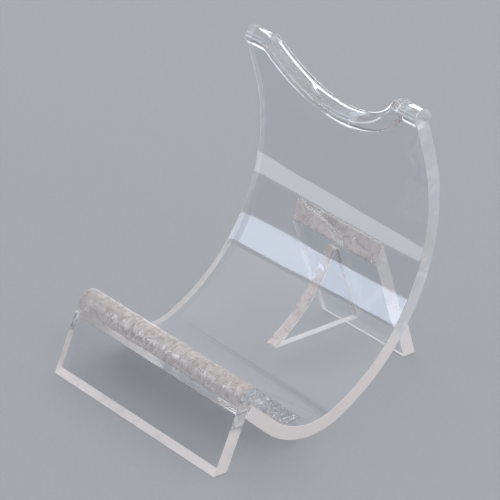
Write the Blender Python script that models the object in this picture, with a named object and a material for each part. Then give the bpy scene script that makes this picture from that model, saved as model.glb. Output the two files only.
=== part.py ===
"""Clear acrylic phone stand, in metres: X across the stand, +Y towards its back, +Z up.

Four pieces cut from one thickness of sheet. The cradle is a long curved sheet with a straight front
end, and its crest is a round bead with a scoop between two ears. The front bracket is a folded sheet:
a leaning front leg, and a flange cemented on the cradle's front end. The rear leg props the back of
the cradle, and the centre rib stands on edge between the two. The origin is on the table, under the
middle of the stand.
"""

import bisect
import math

import bmesh
import bpy

# Overall sizes
WIDTH = 0.080
SHEET = 0.0046
TOE_Y = -0.048  # front edge of the front leg's foot
HEEL_Y = 0.048  # rear edge of the rear leg's foot
CREST_Z = 0.0962  # where the middle of the sheet ends, in the ears
GLUE_GAP = 0.0003  # space left for the cement between two pieces

# Cradle, by its middle surface
SEAT_Y = -0.0105  # lowest point of the seat
SEAT_CLEARANCE = 0.0005  # under the seat
SEAT_RADIUS = 0.0224
BACK_RADIUS = 0.0645
RAMP_SLOPE = math.radians(44.0)  # the front end, falling towards the back
SEAT_END_SLOPE = math.radians(24.75)  # where the seat's curve passes into the back's
BACK_END_SLOPE = math.radians(105.9)  # above it the back is straight and leans forward
CREST_RADIUS = 0.0032  # the round bead along the crest
BEAD_SET_BACK = 0.0005  # the bead stands out more behind the sheet than in front
NECK_RADIUS_FRONT = 0.0025  # the hollow between the bead and the sheet, on the phone's side
NECK_RADIUS_REAR = 0.0003
SCOOP_DEPTH = 0.0150
SCOOP_RADIUS = 0.0348
EAR_CORNER_RADIUS = 0.0063

# Front bracket
FRONT_LEAN = math.radians(24.3)
FOLD_RADIUS = 0.0042
FLANGE_END_Z = 0.0080  # the flange's level lower end

# Rear leg and centre rib
LEG_WIDTH = 0.0405
LEG_LEAN = math.radians(16.0)
RIB_BOTTOM_Z = 0.0063
RIB_TOP_LAND = 0.0010  # width left at the rib's top corner

# How finely the round shapes are divided
SEAT_STEPS = 18
BACK_STEPS = 28
BEAD_STEPS = 9
NECK_STEPS = 3
CORNER_STEPS = 5
SCOOP_STEPS = 12
CREST_ROWS = 3  # rows of faces between the neck and the plain back
CREST_MARGIN = 0.003
FOLD_STEPS = 10
RIB_STEPS = 16
FLANGE_STEPS = 6

HALF_SHEET = SHEET / 2
SEAT_Z = SEAT_CLEARANCE + HALF_SHEET
SEAT_CENTRE = (SEAT_Y, SEAT_Z + SEAT_RADIUS)


def moved(point, angle, distance):
    """The point at that distance in the direction of angle, in the YZ plane."""
    return point[0] + distance * math.cos(angle), point[1] + distance * math.sin(angle)


def meeting(p, p_angle, q, q_angle):
    """Where the line through p crosses the line through q."""
    dy, dz = q[0] - p[0], q[1] - p[1]
    across = math.sin(q_angle - p_angle)
    distance = (dy * math.sin(q_angle) - dz * math.cos(q_angle)) / across
    return moved(p, p_angle, distance)


def arc(centre, radius, start, end, steps):
    """Points along a circle, both ends included."""
    angles = [start + (end - start) * i / steps for i in range(steps + 1)]
    return [moved(centre, angle, radius) for angle in angles]


# The cradle's middle line, from the seat's front end to the crest
SEAT_START = moved(SEAT_CENTRE, -math.pi / 2 - RAMP_SLOPE, SEAT_RADIUS)
SEAT_END = moved(SEAT_CENTRE, -math.pi / 2 + SEAT_END_SLOPE, SEAT_RADIUS)
BACK_CENTRE = moved(SEAT_END, SEAT_END_SLOPE + math.pi / 2, BACK_RADIUS)
BACK_END = moved(BACK_CENTRE, BACK_END_SLOPE - math.pi / 2, BACK_RADIUS)
SEAT_LENGTH = SEAT_RADIUS * (RAMP_SLOPE + SEAT_END_SLOPE)
BACK_LENGTH = BACK_RADIUS * (BACK_END_SLOPE - SEAT_END_SLOPE)
CREST_LENGTH = (CREST_Z - BACK_END[1]) / math.sin(BACK_END_SLOPE)
CREST_S = SEAT_LENGTH + BACK_LENGTH + CREST_LENGTH

# The front leg's back face, and the ramp's end that stands against it
LEG_ANGLE = math.pi / 2 - FRONT_LEAN
LEG_BACK_FOOT = (TOE_Y + SHEET / math.cos(FRONT_LEAN), 0.0)
RAMP_STOP = (LEG_BACK_FOOT[0] + GLUE_GAP / math.cos(FRONT_LEAN), 0.0)


def centreline(s):
    """Point and direction of the cradle's middle line at s, measured from the seat's front end."""
    if s < SEAT_LENGTH:
        angle = s / SEAT_RADIUS - RAMP_SLOPE
        return moved(SEAT_CENTRE, angle - math.pi / 2, SEAT_RADIUS), angle
    if s < SEAT_LENGTH + BACK_LENGTH:
        angle = SEAT_END_SLOPE + (s - SEAT_LENGTH) / BACK_RADIUS
        return moved(BACK_CENTRE, angle - math.pi / 2, BACK_RADIUS), angle
    return moved(BACK_END, BACK_END_SLOPE, s - SEAT_LENGTH - BACK_LENGTH), BACK_END_SLOPE


def cradle_point(x, s, offset):
    """A point of the cradle: offset is positive on the side that holds the phone."""
    point, angle = centreline(s)
    y, z = moved(point, angle + math.pi / 2, offset)
    return x, y, z


def ramp_end(offset):
    """Where a face of the ramp, at that offset from its middle, ends against the front leg."""
    face = moved(SEAT_START, math.pi / 2 - RAMP_SLOPE, offset)
    return meeting(face, -RAMP_SLOPE, RAMP_STOP, LEG_ANGLE)


def crest_outline():
    """(x, s, tilt) along the top edge, from -X to +X. The sheet lies below it, turned by tilt."""
    scoop_s = CREST_S - SCOOP_DEPTH + SCOOP_RADIUS
    corner_s = CREST_S - EAR_CORNER_RADIUS
    reach = SCOOP_RADIUS + EAR_CORNER_RADIUS
    steepest = math.acos((scoop_s - corner_s) / reach)
    corner_x = reach * math.sin(steepest)
    half = []
    for i in range(SCOOP_STEPS + 1):
        tilt = steepest * i / SCOOP_STEPS
        half.append((SCOOP_RADIUS * math.sin(tilt), scoop_s - SCOOP_RADIUS * math.cos(tilt), tilt))
    for i in range(1, CORNER_STEPS + 1):
        tilt = steepest * (1 - i / CORNER_STEPS)
        x = corner_x - EAR_CORNER_RADIUS * math.sin(tilt)
        half.append((x, corner_s + EAR_CORNER_RADIUS * math.cos(tilt), tilt))
    half.append((WIDTH / 2, CREST_S, 0.0))
    return [(-x, s, -tilt) for x, s, tilt in reversed(half[1:])] + half


def crest_profile(side, neck_radius):
    """(depth, offset) from the top of the bead, round it and through the neck, to the sheet's face."""
    reach = CREST_RADIUS + neck_radius
    aside = HALF_SHEET + neck_radius + side * BEAD_SET_BACK
    bead_end = math.pi - math.asin(aside / reach)
    profile = []
    for i in range(BEAD_STEPS + 1):
        turn = bead_end * i / BEAD_STEPS
        depth = CREST_RADIUS * (1 - math.cos(turn))
        profile.append((depth, side * CREST_RADIUS * math.sin(turn) - BEAD_SET_BACK))
    neck_depth = CREST_RADIUS - reach * math.cos(bead_end)
    for i in range(1, NECK_STEPS + 1):
        turn = bead_end + (math.pi / 2 - bead_end) * i / NECK_STEPS
        depth = neck_depth + neck_radius * math.cos(turn)
        profile.append((depth, side * (HALF_SHEET + neck_radius * (1 - math.sin(turn)))))
    return profile


def cradle_rows(side, neck_radius):
    """A side of the cradle as rows of (x, s, offset), from the crest down. side is 1 or -1."""
    outline = crest_outline()
    rows = []
    for depth, offset in crest_profile(side, neck_radius):
        rows.append([
            (x + depth * math.sin(tilt), s - depth * math.cos(tilt), offset)
            for x, s, tilt in outline
        ])
    face = side * HALF_SHEET
    plain_s = CREST_S - SCOOP_DEPTH - 2 * CREST_RADIUS - CREST_MARGIN
    neck_foot = rows[-1]
    for i in range(1, CREST_ROWS + 1):
        share = i / CREST_ROWS
        rows.append([(x, s + (plain_s - s) * share, face) for x, s, _ in neck_foot])
    seat_stations = [SEAT_LENGTH * i / SEAT_STEPS for i in range(SEAT_STEPS)]
    back_stations = [SEAT_LENGTH + BACK_LENGTH * i / BACK_STEPS for i in range(BACK_STEPS + 1)]
    stations = seat_stations + back_stations
    below = stations[: bisect.bisect_left(stations, plain_s - CREST_MARGIN / 2)]
    ends = (-WIDTH / 2, WIDTH / 2)
    rows += [[(x, s, face) for x in ends] for s in reversed(below)]
    return rows


def add_strip(mesh, upper, lower):
    """Faces between two rows of vertices. A row of two below a longer row closes it with one wide face."""
    if len(lower) == len(upper):
        for i in range(len(upper) - 1):
            mesh.faces.new((upper[i], upper[i + 1], lower[i + 1], lower[i]))
    else:
        mesh.faces.new(list(upper) + [lower[-1], lower[0]])


def cradle_mesh():
    mesh = bmesh.new()
    sides = []
    crest = None
    for side, neck_radius in ((1, NECK_RADIUS_FRONT), (-1, NECK_RADIUS_REAR)):
        rows = cradle_rows(side, neck_radius)
        crest = crest or [mesh.verts.new(cradle_point(*place)) for place in rows[0]]
        grid = [crest]
        for row in rows[1:]:
            grid.append([mesh.verts.new(cradle_point(*place)) for place in row])
        end = ramp_end(side * HALF_SHEET)
        grid.append([mesh.verts.new((x, *end)) for x in (-WIDTH / 2, WIDTH / 2)])
        for upper, lower in zip(grid, grid[1:]):
            add_strip(mesh, upper, lower)
        sides.append(grid)
    front, back = sides
    for edge in (0, -1):
        mesh.faces.new((crest[edge], front[1][edge], back[1][edge]))
        for i in range(1, len(front) - 1):
            mesh.faces.new((front[i][edge], front[i + 1][edge], back[i + 1][edge], back[i][edge]))
    mesh.faces.new((front[-1][0], front[-1][1], back[-1][1], back[-1][0]))
    bmesh.ops.recalc_face_normals(mesh, faces=mesh.faces)
    return mesh


def plate_mesh(section, width):
    """A YZ outline extruded across X, centred on X = 0."""
    mesh = bmesh.new()
    loops = [[mesh.verts.new((x, y, z)) for y, z in section] for x in (-width / 2, width / 2)]
    for loop in loops:
        mesh.faces.new(loop)
    for i in range(len(section)):
        j = (i + 1) % len(section)
        mesh.faces.new((loops[0][i], loops[0][j], loops[1][j], loops[1][i]))
    bmesh.ops.recalc_face_normals(mesh, faces=mesh.faces)
    return mesh


def bracket_section():
    """The folded front bracket: up the front leg, round the fold, down the flange and back."""
    toe = (TOE_Y, 0.0)
    seat_face = HALF_SHEET + GLUE_GAP
    flange_foot = moved(SEAT_START, math.pi / 2 - RAMP_SLOPE, seat_face)
    flange_top = moved(flange_foot, math.pi / 2 - RAMP_SLOPE, SHEET)
    corner = meeting(toe, LEG_ANGLE, flange_top, -RAMP_SLOPE)
    fold_inner = (LEG_ANGLE + RAMP_SLOPE + math.pi) / 2 - RAMP_SLOPE
    half_opening = (math.pi - LEG_ANGLE - RAMP_SLOPE) / 2
    fold_centre = moved(corner, fold_inner - math.pi, FOLD_RADIUS / math.sin(half_opening))
    fold = arc(fold_centre, FOLD_RADIUS, LEG_ANGLE + math.pi / 2, math.pi / 2 - RAMP_SLOPE, FOLD_STEPS)
    tip = meeting(flange_top, -RAMP_SLOPE, (0.0, FLANGE_END_Z), 0.0)
    bed_radius = SEAT_RADIUS - seat_face
    bed_end = -math.acos((SEAT_CENTRE[1] - FLANGE_END_Z) / bed_radius) - math.pi / 2
    bed = arc(SEAT_CENTRE, bed_radius, bed_end, -math.pi / 2 - RAMP_SLOPE, FLANGE_STEPS)
    crease = meeting(LEG_BACK_FOOT, LEG_ANGLE, flange_foot, -RAMP_SLOPE)
    return [toe] + fold + [tip] + bed + [crease, LEG_BACK_FOOT]


def leg_section():
    """The rear leg: a level foot, and a top cut to lie on the outside of the back."""
    heel = (HEEL_Y, 0.0)
    foot = (HEEL_Y - SHEET / math.cos(LEG_LEAN), 0.0)
    up = math.pi / 2 + LEG_LEAN
    reach = BACK_RADIUS + HALF_SHEET + GLUE_GAP
    middle = ((heel[0] + foot[0]) / 2, 0.0)
    to_centre = (BACK_CENTRE[0] - middle[0], BACK_CENTRE[1])
    along = to_centre[0] * math.cos(up) + to_centre[1] * math.sin(up)
    aside = to_centre[0] * math.sin(up) - to_centre[1] * math.cos(up)
    touch = moved(middle, up, along - math.sqrt(reach**2 - aside**2))
    cut = math.atan2(touch[1] - BACK_CENTRE[1], touch[0] - BACK_CENTRE[0]) + math.pi / 2
    return [foot, heel, meeting(heel, up, touch, cut), meeting(foot, up, touch, cut)]


def rib_section():
    """The centre rib: its front edge follows the cradle, its back edge the rear leg."""
    foot, _, _, leg_top = leg_section()
    up = math.pi / 2 + LEG_LEAN
    back = moved(foot, up + math.pi / 2, GLUE_GAP)
    bottom_back = meeting(back, up, (0.0, RIB_BOTTOM_Z), 0.0)
    reach = BACK_RADIUS + HALF_SHEET + GLUE_GAP
    start = -math.acos((BACK_CENTRE[1] - RIB_BOTTOM_Z) / reach)
    low = start + math.pi / 2 if start > 0 else -math.pi / 2 - start
    leg_face = math.atan2(leg_top[1] - BACK_CENTRE[1], leg_top[0] - BACK_CENTRE[0])
    opening = LEG_LEAN - leg_face
    high = leg_face - (RIB_TOP_LAND + GLUE_GAP) / math.tan(opening) / reach
    front = arc(BACK_CENTRE, reach, low, high, RIB_STEPS)
    top_back = meeting(back, up, front[-1], leg_face)
    return [bottom_back, top_back] + front[::-1]


def clear_acrylic(name, tint):
    material = bpy.data.materials.new(name)
    material.use_nodes = True
    shader = material.node_tree.nodes["Principled BSDF"]
    shader.inputs["Base Color"].default_value = (*tint, 1.0)
    shader.inputs["Roughness"].default_value = 0.05
    shader.inputs["IOR"].default_value = 1.49
    shader.inputs["Transmission Weight"].default_value = 1.0
    return material


def add_piece(name, mesh, material):
    data = bpy.data.meshes.new(name)
    mesh.to_mesh(data)
    mesh.free()
    data.shade_smooth()
    data.set_sharp_from_angle(angle=math.radians(30))
    data.materials.append(material)
    piece = bpy.data.objects.new(name, data)
    bpy.context.scene.collection.objects.link(piece)


def main():
    for old in list(bpy.data.objects):
        bpy.data.objects.remove(old, do_unlink=True)
    add_piece("cradle_sheet", cradle_mesh(), clear_acrylic("cradle_acrylic", (0.95, 0.96, 0.97)))
    bracket = plate_mesh(bracket_section(), WIDTH)
    add_piece("front_bracket", bracket, clear_acrylic("bracket_acrylic", (0.96, 0.95, 0.95)))
    leg = plate_mesh(leg_section(), LEG_WIDTH)
    add_piece("rear_leg", leg, clear_acrylic("leg_acrylic", (0.95, 0.96, 0.97)))
    rib = plate_mesh(rib_section(), SHEET)
    add_piece("centre_rib", rib, clear_acrylic("rib_acrylic", (0.96, 0.95, 0.95)))


main()
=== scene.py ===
"""Looks of the clear acrylic phone stand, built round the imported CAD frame.

Each CAD piece is shown as a finer copy with rounded edges. Thin films of dried cement lie in the joints."""

import math

import bmesh
import bpy
from mathutils import Matrix, Quaternion, Vector, noise
from mathutils.bvhtree import BVHTree


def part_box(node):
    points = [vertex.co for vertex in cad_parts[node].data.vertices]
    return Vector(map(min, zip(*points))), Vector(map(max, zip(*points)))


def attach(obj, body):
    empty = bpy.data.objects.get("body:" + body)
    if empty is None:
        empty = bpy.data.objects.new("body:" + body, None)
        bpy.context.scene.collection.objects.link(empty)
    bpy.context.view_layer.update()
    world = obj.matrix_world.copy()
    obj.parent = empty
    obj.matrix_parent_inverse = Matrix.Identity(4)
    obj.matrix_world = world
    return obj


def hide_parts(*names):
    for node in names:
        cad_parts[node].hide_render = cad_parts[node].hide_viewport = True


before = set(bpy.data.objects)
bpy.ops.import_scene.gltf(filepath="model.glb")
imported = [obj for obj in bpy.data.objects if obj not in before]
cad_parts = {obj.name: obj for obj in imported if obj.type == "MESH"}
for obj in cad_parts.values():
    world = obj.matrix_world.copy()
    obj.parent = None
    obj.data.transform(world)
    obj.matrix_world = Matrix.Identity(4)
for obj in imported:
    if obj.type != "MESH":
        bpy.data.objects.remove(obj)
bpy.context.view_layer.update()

# Lengths are in metres unless their name says otherwise

# Camera
CAMERA_AZIMUTH = math.radians(51.28)
CAMERA_ELEVATION = math.radians(27.57)
CAMERA_PLACE = (0.71557, -0.57589, 0.52321)
LENS_MM = 245.4
SENSOR_MM = 36.0

# Floor
FLOOR_HALF = 3.0
FLOOR_GAP = 0.0002  # keeps the floor from lying in the same plane as the feet
GLOW_Z = 0.002  # just above the floor
GLOW_COLOUR = (0.93, 0.96, 1.0)

# Shapes
SAME_POINT = 1e-6
FLAT = math.radians(0.4)  # faces that turn less than this are one flat face
STRIP = 0.0025  # width of the strips that a face is cut into across X
FACING = 0.9  # a face looks along an axis if its normal has at least this much of it
EDGE_ROUND = 0.00028
EDGE_SEGMENTS = 3
SHARP = math.radians(35)
FLAT_WEIGHT = 80  # how much a large face's own normal counts beside those of its rounded edges

# Cement between two pieces
JOINT_REACH = 0.00042  # a face is joined where the other piece is nearer than this
FILM_STEP = 0.0004
WETTING = 0.00001  # the film reaches this far into both pieces, as cement melts into them
PATCHES = 130.0  # how many of the film's patches fit in a metre
PATCH_SMOOTHNESS = 0.7
PATCH_DETAIL = 2.0  # how much finer each octave is than the one before
PATCH_OCTAVES = 3
SIDE_DRYNESS = 0.45  # what the film lacks along its sides
SIDE_REACH = 0.0007
RIM_SMOOTHING = 3  # rounds
CRUMB = 12  # parts of a film with fewer faces than this are left out
CREASE_CLEAR = 0.0008  # the cement stops this far behind the bracket's inner crease

# Round voids in the cement: x, share of the way along the joint, radius
LIP_BUBBLES = [
    (0.0372, 0.30, 0.0030),
    (0.0385, 0.62, 0.0022),
    (0.0340, 0.80, 0.0018),
    (0.0320, 0.50, 0.0011),
]
LEG_BUBBLES = [
    (0.0056, 0.74, 0.0018),
    (0.0082, 0.40, 0.0007),
]

# The curved void in the rear leg's cement runs from its top left down to the rib
SWEEP_COUNT = 40
SWEEP_LEFT = -0.0155
SWEEP_WIDTH = 0.0185
SWEEP_TOP = 0.08  # share of the way along the joint
SWEEP_DROP = 0.85
SWEEP_RADIUS = 0.0008

# Acrylic
ACRYLIC_IOR = 1.49
TINT_SPREAD = 0.02
WAVE_DEPTH = 0.0006
HAZE_DEPTH = 0.0046  # the fold is hazed from its top to this far below it
HAZE_EDGE = 0.0002
HAZE_ROUGHNESS = 0.26
FACETS = 260.0  # how many facets fit in a metre
FRONT_LEAN = math.radians(24.3)  # of the front leg
CLEAR_RAYS = ("Is Diffuse Ray", "Is Shadow Ray")
CLEAR_SHADOW = (0.955, 0.96, 0.965, 1.0)
MILKY_RAYS = ("Is Shadow Ray",)
MILKY_SHADOW = (0.86, 0.86, 0.865, 1.0)

LIGHT_BOUNCES = 64  # enough for a look through every sheet of the stand


# ---------------------------------------------------------------- studio


def direction(azimuth, elevation):
    """Unit vector from the object: azimuth 0 is its front (-Y), 90 degrees its right (+X)."""
    level = math.cos(elevation)
    return Vector((math.sin(azimuth) * level, -math.cos(azimuth) * level, math.sin(elevation)))


def turned_to(azimuth, elevation):
    """Rotation of a camera that looks at the object from that azimuth and elevation."""
    back = direction(azimuth, elevation)
    right = Vector((math.cos(azimuth), math.sin(azimuth), 0.0))
    return Matrix((right, back.cross(right), back)).transposed()


def make_camera():
    data = bpy.data.cameras.new("camera")
    data.lens = LENS_MM
    data.sensor_width = SENSOR_MM
    camera = bpy.data.objects.new("camera", data)
    turn = turned_to(CAMERA_AZIMUTH, CAMERA_ELEVATION).to_4x4()
    camera.matrix_world = Matrix.Translation(CAMERA_PLACE) @ turn
    bpy.context.scene.collection.objects.link(camera)
    bpy.context.scene.camera = camera


def make_light(name, size, radiance, colour):
    """A rectangular area light that the camera doesn't see, not yet placed."""
    data = bpy.data.lights.new(name, "AREA")
    data.shape = "RECTANGLE"
    data.size, data.size_y = size
    data.energy = radiance * math.pi * size[0] * size[1]
    data.color = colour
    light = bpy.data.objects.new(name, data)
    light.rotation_mode = "QUATERNION"
    light.visible_camera = False
    bpy.context.scene.collection.objects.link(light)
    return light


def make_softbox(name, azimuth, elevation, distance, size, radiance, colour):
    """A light in that direction, in degrees, and at that distance, facing the object."""
    light = make_light(name, size, radiance, colour)
    away = direction(math.radians(azimuth), math.radians(elevation))
    light.location = away * distance
    light.rotation_quaternion = (-away).to_track_quat("-Z", "Y")


def make_floor_glow(name, x, y, turn, size, radiance):
    """A bright patch of the floor, as a pale table would mirror there. Only reflections see it."""
    glow = make_light(name, size, radiance, GLOW_COLOUR)
    glow.location = (x, y, GLOW_Z)
    facing_up = Vector((0, 0, 1)).to_track_quat("-Z", "Y")
    glow.rotation_quaternion = Quaternion((0, 0, 1), math.radians(turn)) @ facing_up
    glow.visible_diffuse = False
    glow.visible_transmission = False


def make_world(colour, strength):
    world = bpy.data.worlds.new("studio")
    world.use_nodes = True
    background = world.node_tree.nodes["Background"]
    background.inputs["Color"].default_value = (*colour, 1.0)
    background.inputs["Strength"].default_value = strength
    bpy.context.scene.world = world


def make_floor():
    mesh = bpy.data.meshes.new("floor")
    h, z = FLOOR_HALF, -FLOOR_GAP
    mesh.from_pydata([(-h, -h, z), (h, -h, z), (h, h, z), (-h, h, z)], [], [(0, 1, 2, 3)])
    floor = bpy.data.objects.new("floor", mesh)
    bpy.context.scene.collection.objects.link(floor)
    kit = Nodes("floor_paper")
    grain = kit.noise(kit.place(), scale=900.0, detail=3.0)
    kit.colour(grain, dark=(0.43, 0.44, 0.46), light=(0.45, 0.46, 0.48))
    kit.set("Roughness", 0.85)
    mesh.materials.append(kit.material)


# ---------------------------------------------------------------- materials


class Nodes:
    """A material's node tree, with one Principled shader, and short calls that add to it."""

    def __init__(self, name):
        self.material = bpy.data.materials.new(name)
        self.material.use_nodes = True
        self.tree = self.material.node_tree
        self.shader = self.tree.nodes["Principled BSDF"]
        self.normal = None

    def add(self, kind, **settings):
        node = self.tree.nodes.new(kind)
        for key, value in settings.items():
            setattr(node, key, value)
        return node

    def link(self, output, target):
        self.tree.links.new(output, target)

    def set(self, socket, value):
        self.shader.inputs[socket].default_value = value

    def drive(self, value, socket):
        self.link(value, self.shader.inputs[socket])

    def place(self, stretch=(1.0, 1.0, 1.0)):
        """The object's own coordinates, in metres, stretched."""
        coordinates = self.add("ShaderNodeTexCoord")
        mapping = self.add("ShaderNodeMapping")
        mapping.inputs["Scale"].default_value = stretch
        self.link(coordinates.outputs["Object"], mapping.inputs["Vector"])
        return mapping.outputs["Vector"]

    def noise(self, vector, scale, detail=2.0, distortion=0.0):
        texture = self.add("ShaderNodeTexNoise")
        texture.inputs["Scale"].default_value = scale
        texture.inputs["Detail"].default_value = detail
        texture.inputs["Distortion"].default_value = distortion
        self.link(vector, texture.inputs["Vector"])
        return texture.outputs["Fac"]

    def facets(self, vector, scale):
        """Heights of flat-sided little pyramids."""
        texture = self.add("ShaderNodeTexVoronoi", distance="CHEBYCHEV")
        texture.inputs["Scale"].default_value = scale
        self.link(vector, texture.inputs["Vector"])
        return texture.outputs["Distance"]

    def calculate(self, operation, a, b):
        node = self.add("ShaderNodeMath", operation=operation)
        for socket, value in zip(node.inputs, (a, b)):
            if isinstance(value, (int, float)):
                socket.default_value = value
            else:
                self.link(value, socket)
        return node.outputs[0]

    def plus(self, a, b):
        return self.calculate("ADD", a, b)

    def times(self, a, b):
        return self.calculate("MULTIPLY", a, b)

    def rest_of(self, share):
        return self.calculate("SUBTRACT", 1.0, share)

    def mixed(self, a, b, share):
        """That share of a, and the rest of b."""
        return self.plus(self.times(a, share), self.times(b, 1.0 - share))

    def span(self, value, over, gives=(0.0, 1.0)):
        """Goes smoothly from gives[0] to gives[1] as value goes over that range, and is level outside it."""
        node = self.add("ShaderNodeMapRange", interpolation_type="SMOOTHSTEP")
        for socket, number in zip(("From Min", "From Max", "To Min", "To Max"), (*over, *gives)):
            node.inputs[socket].default_value = number
        self.link(value, node.inputs["Value"])
        return node.outputs["Result"]

    def below(self, low, high, lean=0.0):
        """1 below low and 0 above high, in metres up a line that leans back from the vertical."""
        split = self.add("ShaderNodeSeparateXYZ")
        self.link(self.place(), split.inputs[0])
        up = self.times(split.outputs["Z"], math.cos(lean))
        back = self.times(split.outputs["Y"], math.sin(lean))
        return self.span(self.plus(up, back), (low, high), (1.0, 0.0))

    def between(self, value, dark, light, over=(0.3, 0.7)):
        """A colour that goes from dark to light over that range of value."""
        ramp = self.add("ShaderNodeValToRGB")
        for element, position, colour in zip(ramp.color_ramp.elements, over, (dark, light)):
            element.position = position
            element.color = (*colour, 1.0)
        self.link(value, ramp.inputs["Fac"])
        return ramp.outputs["Color"]

    def colour(self, value, dark, light, over=(0.3, 0.7)):
        self.drive(self.between(value, dark, light, over), "Base Color")

    def blend_colour(self, share, plain, value, dark, light):
        """Plain where share is 0, and from dark to light with value where it is 1."""
        mix = self.add("ShaderNodeMix", data_type="RGBA")
        mix.inputs["A"].default_value = (*plain, 1.0)
        self.link(share, mix.inputs["Factor"])
        self.link(self.between(value, dark, light, (0.0, 1.0)), mix.inputs["B"])
        self.drive(mix.outputs["Result"], "Base Color")

    def milk(self, value, over, amounts):
        """The share of light that is scattered, from the least to the most over that range of value."""
        least, most = amounts
        self.drive(self.span(value, over, (1.0 - least, 1.0 - most)), "Transmission Weight")

    def bump(self, height, strength, distance):
        """A bump of that many metres, on top of those added before."""
        node = self.add("ShaderNodeBump")
        node.inputs["Strength"].default_value = strength
        node.inputs["Distance"].default_value = distance
        self.link(height, node.inputs["Height"])
        if self.normal:
            self.link(self.normal, node.inputs["Normal"])
        self.normal = node.outputs["Normal"]
        self.drive(self.normal, "Normal")

    def let_through(self, rays, tint):
        """These kinds of ray pass straight through, tinted, where refraction would lose them."""
        path = self.add("ShaderNodeLightPath")
        surface = self.shader.outputs[0]
        for ray in rays:
            clear = self.add("ShaderNodeBsdfTransparent")
            clear.inputs["Color"].default_value = tint
            mix = self.add("ShaderNodeMixShader")
            self.link(path.outputs[ray], mix.inputs[0])
            self.link(surface, mix.inputs[1])
            self.link(clear.outputs[0], mix.inputs[2])
            surface = mix.outputs[0]
        self.link(surface, self.tree.nodes["Material Output"].inputs["Surface"])


def acrylic_nodes(name):
    kit = Nodes(name)
    kit.set("IOR", ACRYLIC_IOR)
    return kit


def smears(kit):
    """The roughness of a polished sheet that has been handled."""
    patches = kit.noise(kit.place((1.0, 0.35, 0.35)), scale=90.0, detail=1.0, distortion=0.6)
    return kit.span(patches, over=(0.45, 0.75), gives=(0.008, 0.035))


def bend_waves(kit):
    """The slow waves that a heat bend leaves in a sheet."""
    return kit.noise(kit.place((0.5, 1.0, 1.0)), scale=90.0, detail=1.0)


def polished_acrylic(name, tint, waviness):
    """Clear cast sheet with a faint tint, smears and waves."""
    kit = acrylic_nodes(name)
    kit.set("Transmission Weight", 1.0)
    darker = tuple(part - TINT_SPREAD for part in tint)
    kit.colour(kit.noise(kit.place(), scale=55.0, detail=3.0), darker, tint)
    kit.drive(smears(kit), "Roughness")
    kit.bump(bend_waves(kit), waviness, WAVE_DEPTH)
    kit.let_through(CLEAR_RAYS, CLEAR_SHADOW)
    return kit.material


def folded_acrylic(name, tint, waviness, dull, bright, heights):
    """Polished sheet, hazed and rippled by the heater where it was folded.

    The haze sets in between the two heights, and lies above them."""
    kit = acrylic_nodes(name)
    hazed = kit.rest_of(kit.below(*heights))
    ripples = kit.noise(kit.place((2.2, 1.0, 1.0)), scale=260.0, distortion=1.6)
    streaks = kit.noise(kit.place((0.06, 1.0, 1.0)), scale=1500.0)
    marks = kit.mixed(kit.span(ripples, over=(0.36, 0.60)), kit.span(streaks, over=(0.35, 0.65)), 0.7)
    kit.blend_colour(hazed, tint, marks, dull, bright)
    scattered = kit.times(hazed, kit.span(marks, over=(0.1, 0.9), gives=(0.78, 0.42)))
    kit.drive(kit.rest_of(scattered), "Transmission Weight")
    kit.drive(kit.plus(smears(kit), kit.times(hazed, HAZE_ROUGHNESS)), "Roughness")
    kit.bump(bend_waves(kit), waviness, WAVE_DEPTH)
    kit.bump(kit.times(marks, hazed), strength=0.5, distance=0.0003)
    kit.let_through(CLEAR_RAYS, CLEAR_SHADOW)
    return kit.material


def cut_acrylic(name, dull, bright, milk, heights, least_roughness=0.14, lean=0.0, facet_depth=0.0):
    """A sawn and scraped edge, milkiest below the lower of two heights and least so above the upper one. Its
    colour is graded by height, lighter and pinker low down and duller above, as painted light and shade on
    top of the milky frosting.

    milk is the least and the most of it. Above the milky part the edge has facets of that depth."""
    kit = acrylic_nodes(name)
    low_down = kit.below(*heights, lean)
    blotches = kit.noise(kit.place(), scale=130.0, detail=3.0, distortion=0.6)
    milk_and_painted_light = kit.mixed(low_down, kit.span(blotches, over=(0.38, 0.62)), 0.72)
    # painted light and shade: the colour is lighter and pinker where the edge is milky low down, and duller
    # above
    kit.colour(milk_and_painted_light, dull, bright, over=(0.1, 0.8))
    kit.drive(kit.span(milk_and_painted_light, over=(0.0, 0.8), gives=(least_roughness, 0.50)), "Roughness")
    kit.milk(milk_and_painted_light, over=(0.0, 0.9), amounts=milk)
    scrapes = kit.noise(kit.place((260.0, 2600.0, 2600.0)), scale=1.0, distortion=0.4)
    grain = kit.noise(kit.place(), scale=2400.0)
    kit.bump(kit.times(scrapes, milk_and_painted_light), strength=0.18, distance=0.00012)
    kit.bump(kit.times(grain, milk_and_painted_light), strength=0.10, distance=0.00006)
    if facet_depth:
        facets = kit.facets(kit.place(), FACETS)
        kit.bump(kit.times(facets, kit.rest_of(low_down)), strength=1.0, distance=facet_depth)
    kit.let_through(MILKY_RAYS, MILKY_SHADOW)
    return kit.material


def cement(name, dull, bright, milk, ripple_stretch):
    """Dried acrylic cement: a milky, finely bubbled film with silvery ripples."""
    kit = acrylic_nodes(name)
    froth = kit.noise(kit.place(), scale=420.0, detail=4.0, distortion=1.0)
    ripples = kit.noise(kit.place(ripple_stretch), scale=110.0, detail=2.5, distortion=2.2)
    kit.colour(ripples, dull, bright, over=(0.36, 0.58))
    kit.drive(kit.span(froth, over=(0.35, 0.65), gives=(0.18, 0.42)), "Roughness")
    kit.milk(ripples, over=(0.34, 0.56), amounts=milk)
    kit.bump(ripples, strength=0.4, distance=0.0005)
    kit.bump(froth, strength=0.2, distance=0.0001)
    kit.let_through(MILKY_RAYS, MILKY_SHADOW)
    return kit.material


# ---------------------------------------------------------------- pieces


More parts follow.
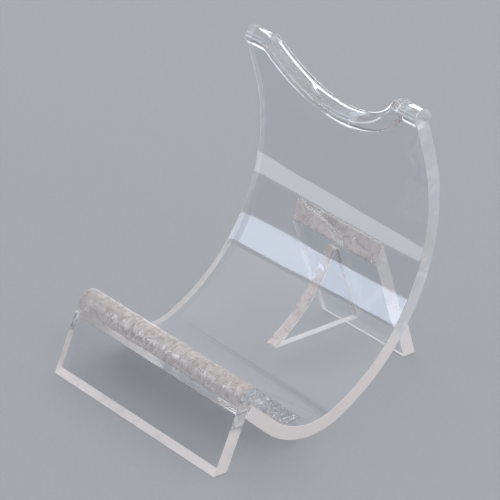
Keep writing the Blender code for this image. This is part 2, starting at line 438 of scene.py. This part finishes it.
def cad_copy(node_name):
    """The CAD solid as one mesh of whole flat faces."""
    mesh = bmesh.new()
    mesh.from_mesh(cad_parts[node_name].data)
    bmesh.ops.remove_doubles(mesh, verts=mesh.verts, dist=SAME_POINT)
    bmesh.ops.dissolve_limit(mesh, angle_limit=FLAT, verts=mesh.verts, edges=mesh.edges)
    return mesh


def cut_into_strips(mesh, low_x, high_x):
    """Cuts the wide faces across X, so that their shading has points to follow."""
    count = round((high_x - low_x) / STRIP)
    for i in range(1, count):
        cut = (low_x + (high_x - low_x) * i / count, 0, 0)
        whole = mesh.verts[:] + mesh.edges[:] + mesh.faces[:]
        bmesh.ops.bisect_plane(mesh, geom=whole, plane_co=cut, plane_no=(1, 0, 0), dist=SAME_POINT)


def make_piece(name, mesh, materials):
    """A visible piece made of that mesh, on the stand's only body."""
    data = bpy.data.meshes.new(name)
    mesh.to_mesh(data)
    mesh.free()
    for material in materials:
        data.materials.append(material)
    data.shade_smooth()
    piece = bpy.data.objects.new(name, data)
    bpy.context.scene.collection.objects.link(piece)
    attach(piece, "root")
    return piece


def round_edges(piece):
    bevel = piece.modifiers.new("edge_round", "BEVEL")
    bevel.width = EDGE_ROUND
    bevel.segments = EDGE_SEGMENTS
    bevel.limit_method = "ANGLE"
    bevel.angle_limit = SHARP
    bevel.use_clamp_overlap = False
    weighted = piece.modifiers.new("flat_faces", "WEIGHTED_NORMAL")
    weighted.weight = FLAT_WEIGHT


def stand_in(name, node_name, finish_of, materials):
    """A detailed copy of a CAD node. finish_of says which of the materials a face has."""
    low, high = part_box(node_name)
    mesh = cad_copy(node_name)
    cut_into_strips(mesh, low.x, high.x)
    mesh.normal_update()
    for face in mesh.faces:
        face.material_index = finish_of(face)
    piece = make_piece(name, mesh, materials)
    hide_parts(node_name)
    round_edges(piece)


def is_end(face):
    return abs(face.normal.x) > FACING


def cradle_finish(face):
    """Polished, but sawn at the ends."""
    return int(is_end(face))


def leg_finish(face):
    """Polished, but sawn at the ends and the foot."""
    return int(is_end(face) or face.normal.z < -FACING)


def rib_finish(face):
    """Polished on its two sides, and sawn all round."""
    return int(not is_end(face))


# ---------------------------------------------------------------- cement in the joints


def section_of(node_name):
    """The YZ outline of an extruded CAD piece, as points a FILM_STEP apart."""
    mesh = cad_copy(node_name)
    mesh.normal_update()
    ends = [face for face in mesh.faces if face.normal.x > FACING]
    end = max(ends, key=lambda face: face.calc_area())
    corners = [Vector((0.0, vert.co.y, vert.co.z)) for vert in end.verts]
    mesh.free()
    outline = []
    for start, stop in zip(corners, corners[1:] + corners[:1]):
        count = max(1, round((stop - start).length / FILM_STEP))
        outline += [start.lerp(stop, i / count) for i in range(count)]
    return outline


def surface_of(node_name):
    mesh = cad_copy(node_name)
    tree = BVHTree.FromBMesh(mesh)
    mesh.free()
    return tree


def joined_run(outline, surface):
    """The longest stretch of an outline that lies along the other piece."""
    near = [surface.find_nearest(point)[3] < JOINT_REACH for point in outline]
    start = near.index(False)
    runs = [[]]
    for i in range(len(outline)):
        k = (start + i) % len(outline)
        if near[k]:
            runs[-1].append(outline[k])
        elif runs[-1]:
            runs.append([])
    return max(runs, key=len)


def placed_voids(bubbles, line):
    """Middle and radius of each bubble, given as (x, share of the way along the line, radius)."""
    voids = []
    for x, share, radius in bubbles:
        middle = line[round(share * (len(line) - 1))]
        voids.append((Vector((x, middle.y, middle.z)), radius))
    return voids


def wetness(place, from_side, fullness, seed, voids):
    """Above 0 where the cement covers that place, which lies from_side inside the joint."""
    if any((place - middle).length < radius for middle, radius in voids):
        return -1.0
    sample = place * PATCHES + Vector((seed, 0, 0))
    patch = noise.fractal(sample, PATCH_SMOOTHNESS, PATCH_DETAIL, PATCH_OCTAVES)
    return patch + (fullness - SIDE_DRYNESS * math.exp(-from_side / SIDE_REACH))


def cement_film(name, joint, material, inset, fullness, seed, bubbles=(), top_gap=None):
    """A film of dried cement in the gap between two CAD nodes, the first an extruded piece.

    inset is how far the film stays inside that piece's width. With a top_gap it stops that far behind
    the joint's top."""
    node_name, other_name = joint
    surface = surface_of(other_name)
    line = joined_run(section_of(node_name), surface)
    if top_gap is not None:
        top = max(line, key=lambda point: point.z)
        line = [point for point in line if point.y > top.y + top_gap]
    voids = placed_voids(bubbles, line)
    half_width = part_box(node_name)[1].x - inset
    across = round(2 * half_width / FILM_STEP)
    along = len(line) - 1
    mesh = bmesh.new()
    grid = []
    for i in range(across + 1):
        x = -half_width + 2 * half_width * i / across
        row = []
        for j, point in enumerate(line):
            place = Vector((x, point.y, point.z))
            from_side = min(i, across - i, j, along - j) * FILM_STEP
            wet = wetness(place, from_side, fullness, seed, voids)
            hit = surface.find_nearest(place)[0]
            wetting = (place - hit).normalized() * WETTING
            row.append((mesh.verts.new(place + wetting), mesh.verts.new(hit - wetting), wet))
        grid.append(row)
    for i in range(across):
        for j in range(along):
            corners = (grid[i][j], grid[i + 1][j], grid[i + 1][j + 1], grid[i][j + 1])
            if sum(corner[2] for corner in corners) > 0:
                mesh.faces.new([corner[0] for corner in corners])
                mesh.faces.new([corner[1] for corner in reversed(corners)])
    drop_crumbs(mesh)
    smooth_rims(mesh)
    close_rims(mesh)
    loose = [vert for vert in mesh.verts if not vert.link_faces]
    bmesh.ops.delete(mesh, geom=loose, context="VERTS")
    bmesh.ops.recalc_face_normals(mesh, faces=mesh.faces)
    make_piece(name, mesh, [material])


def drop_crumbs(mesh):
    """Removes the parts of a film's skins that have less than CRUMB faces."""
    left = set(mesh.faces)
    crumbs = []
    while left:
        waiting = [left.pop()]
        part = []
        while waiting:
            face = waiting.pop()
            part.append(face)
            beside = {other for edge in face.edges for other in edge.link_faces} & left
            left -= beside
            waiting += beside
        if len(part) < CRUMB:
            crumbs += part
    bmesh.ops.delete(mesh, geom=crumbs, context="FACES")


def smooth_rims(mesh):
    """Takes the grid's steps out of a film's outline."""
    rim = {vert for edge in mesh.edges if edge.is_boundary for vert in edge.verts}
    for _ in range(RIM_SMOOTHING):
        targets = {}
        for vert in rim:
            beside = [edge.other_vert(vert).co for edge in vert.link_edges if edge.is_boundary]
            targets[vert] = vert.co.lerp(sum(beside, Vector()) / len(beside), 0.5)
        for vert, target in targets.items():
            vert.co = target


def close_rims(mesh):
    """Joins the two skins of a film along their open edges.

    A film's points were made in pairs, so each even one has its partner in the other skin next to it."""
    mesh.verts.index_update()
    mesh.verts.ensure_lookup_table()
    rims = [edge for edge in mesh.edges if edge.is_boundary]
    for edge in rims:
        a, b = sorted(vert.index for vert in edge.verts)
        if a % 2 == 0:
            mesh.faces.new([mesh.verts[k] for k in (a, b, b + 1, a + 1)])


def sweep():
    """The curved void in the rear leg's cement, as a row of bubbles."""
    steps = [i / SWEEP_COUNT for i in range(SWEEP_COUNT + 1)]
    return [(SWEEP_LEFT + SWEEP_WIDTH * t, SWEEP_TOP + SWEEP_DROP * t * t, SWEEP_RADIUS) for t in steps]


# ---------------------------------------------------------------- the stand

make_camera()
make_world(colour=(0.82, 0.85, 0.90), strength=0.32)
make_floor()
make_softbox(
    "left_box", azimuth=-44, elevation=20.4, distance=1.3,
    size=(0.7, 0.24), radiance=4.1, colour=(0.72, 0.80, 1.0),
)
make_softbox(
    "top_box", azimuth=-62, elevation=58, distance=1.5,
    size=(1.2, 1.8), radiance=0.9, colour=(1.0, 0.985, 0.97),
)
make_softbox(
    "right_box", azimuth=95, elevation=34, distance=1.7,
    size=(0.7, 0.9), radiance=5.0, colour=(1.0, 0.97, 0.95),
)
make_softbox(
    "rear_box", azimuth=165, elevation=42, distance=1.6,
    size=(1.2, 0.5), radiance=2.6, colour=(0.95, 0.97, 1.0),
)
make_softbox(
    "rear_left_box", azimuth=-124, elevation=30, distance=1.3,
    size=(1.3, 0.9), radiance=0.9, colour=(0.95, 0.97, 1.0),
)
make_floor_glow("floor_glow", x=-0.3205, y=-0.3437, turn=-43, size=(0.7, 0.46), radiance=3.0)
make_floor_glow("crest_glow", x=-0.145, y=0.130, turn=0, size=(0.20, 0.20), radiance=2.5)

clear_cradle = polished_acrylic("cradle_polished", (0.925, 0.94, 0.955), waviness=0.09)
clear_leg = polished_acrylic("leg_polished", (0.93, 0.94, 0.955), waviness=0.03)
clear_rib = polished_acrylic("rib_polished", (0.93, 0.94, 0.955), waviness=0.03)
haze_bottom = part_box("front_bracket")[1].z - HAZE_DEPTH
clear_bracket = folded_acrylic(
    "bracket_polished", (0.93, 0.938, 0.95), waviness=0.06,
    dull=(0.47, 0.41, 0.39), bright=(0.86, 0.79, 0.77),
    heights=(haze_bottom, haze_bottom + HAZE_EDGE),
)
cut_cradle = cut_acrylic(
    "cradle_cut_edge", dull=(0.84, 0.87, 0.90), bright=(0.96, 0.90, 0.88),
    milk=(0.46, 0.86), heights=(0.010, 0.034), least_roughness=0.10,
)
cut_bracket = cut_acrylic(
    "bracket_cut_edge", dull=(0.58, 0.61, 0.65), bright=(0.98, 0.92, 0.91),
    milk=(0.20, 0.92), heights=(-0.0058, -0.0032), least_roughness=0.05,
    lean=FRONT_LEAN, facet_depth=0.0012,
)
cut_leg = cut_acrylic(
    "leg_cut_edge", dull=(0.90, 0.89, 0.90), bright=(0.99, 0.95, 0.95),
    milk=(0.45, 0.85), heights=(0.004, 0.030),
)
cut_rib = cut_acrylic(
    "rib_cut_edge", dull=(0.93, 0.91, 0.92), bright=(0.99, 0.96, 0.96),
    milk=(0.55, 0.85), heights=(0.008, 0.026),
)
milky = cement(
    "dried_cement", dull=(0.74, 0.66, 0.63), bright=(0.88, 0.80, 0.77),
    milk=(0.78, 0.94), ripple_stretch=(0.5, 0.8, 0.8),
)
rippled = cement(
    "rippled_cement", dull=(0.76, 0.69, 0.66), bright=(0.90, 0.83, 0.81),
    milk=(0.52, 0.72), ripple_stretch=(1.6, 1.0, 1.0),
)

stand_in("cradle", "cradle_sheet", cradle_finish, [clear_cradle, cut_cradle])
stand_in("bracket", "front_bracket", leg_finish, [clear_bracket, cut_bracket])
stand_in("prop_leg", "rear_leg", leg_finish, [clear_leg, cut_leg])
stand_in("rib", "centre_rib", rib_finish, [clear_rib, cut_rib])

cement_film(
    "lip_cement", ("front_bracket", "cradle_sheet"), rippled,
    inset=0.0006, fullness=0.62, seed=3.0, bubbles=LIP_BUBBLES, top_gap=CREASE_CLEAR,
)
cement_film(
    "leg_cement", ("rear_leg", "cradle_sheet"), milky,
    inset=0.0003, fullness=0.85, seed=7.0, bubbles=LEG_BUBBLES + sweep(),
)
cement_film(
    "rib_front_cement", ("centre_rib", "cradle_sheet"), milky,
    inset=0.0002, fullness=0.5, seed=11.0,
)
cement_film(
    "rib_rear_cement", ("centre_rib", "rear_leg"), milky,
    inset=0.0002, fullness=0.5, seed=17.0,
)

scene = bpy.context.scene
scene.view_settings.view_transform = "Standard"
scene.cycles.max_bounces = LIGHT_BOUNCES
scene.cycles.glossy_bounces = LIGHT_BOUNCES
scene.cycles.transmission_bounces = LIGHT_BOUNCES
scene.cycles.transparent_max_bounces = LIGHT_BOUNCES
scene.cycles.caustics_reflective = False
scene.cycles.caustics_refractive = False
